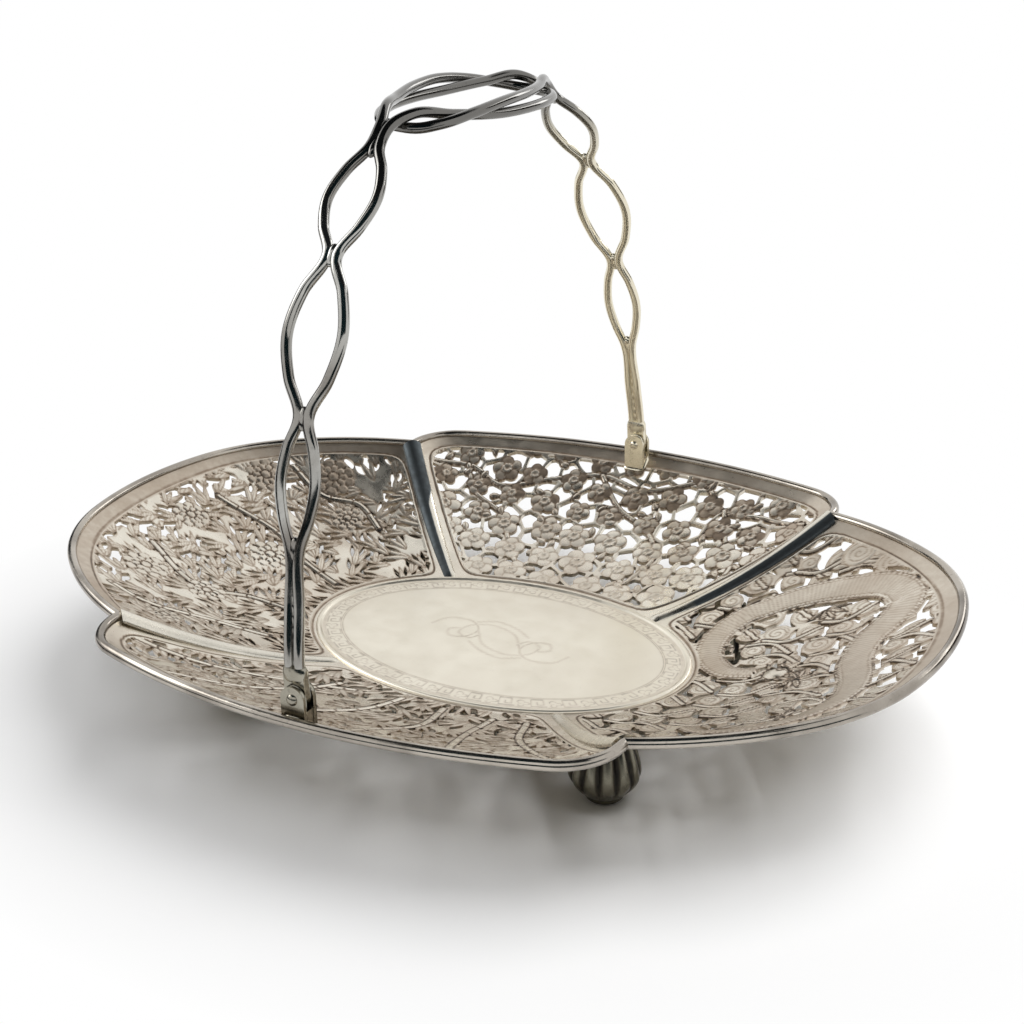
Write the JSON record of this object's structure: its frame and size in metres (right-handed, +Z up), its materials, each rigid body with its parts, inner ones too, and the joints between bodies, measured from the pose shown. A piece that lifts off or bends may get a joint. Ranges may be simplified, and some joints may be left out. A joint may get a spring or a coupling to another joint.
{
  "type": "silver basket",
  "caption": "Oval four-lobed silver basket with pierced and engraved sides, ribbed bun feet and a swing handle of interlaced round wire.",
  "frame": {"origin": "centre of the bounding box at the level of the surface the feet stand on", "axes": "+X along the dish, +Y across it towards the back hinge, +Z up"},
  "size_m": [0.2808, 0.2238, 0.1865],
  "materials": {
    "panel_silver": "bright engraved silver, softly scratched",
    "pierced_silver": "warm toned silver, engraved, dark in the cuts",
    "rim_silver": "polished silver wire, dulled",
    "cast_silver": "cast silver, tarnish between the ribs",
    "hinge_silver": "filed silver plate and rivets",
    "handle_silver": "polished silver wire, dark reflections"
  },
  "bodies": {
    "basket": {"centre_panel": "panel_silver", "lobe_front": "pierced_silver", "lobe_back": "pierced_silver", "lobe_left": "pierced_silver", "lobe_right": "pierced_silver", "rim_wire_front": "rim_silver", "rim_wire_back": "rim_silver", "rim_wire_left": "rim_silver", "rim_wire_right": "rim_silver", "foot_front_left": "cast_silver", "foot_front_right": "cast_silver", "foot_back_left": "cast_silver", "foot_back_right": "cast_silver", "hinge_bracket_front": "hinge_silver", "hinge_bracket_back": "hinge_silver", "hinge_pin_front": "hinge_silver", "hinge_pin_back": "hinge_silver"},
    "handle": {"hinge_tongue_front": "hinge_silver", "hinge_tongue_back": "hinge_silver", "handle_wire_front": "handle_silver", "handle_wire_back": "handle_silver"}
  },
  "joints": [
    {"name": "handle_swing", "type": "hinge", "parent": "basket", "child": "handle", "pos_m": [0, 0, 0.0466], "axis": [0, 1, 0], "range_deg": [-80, 86]}
  ]
}
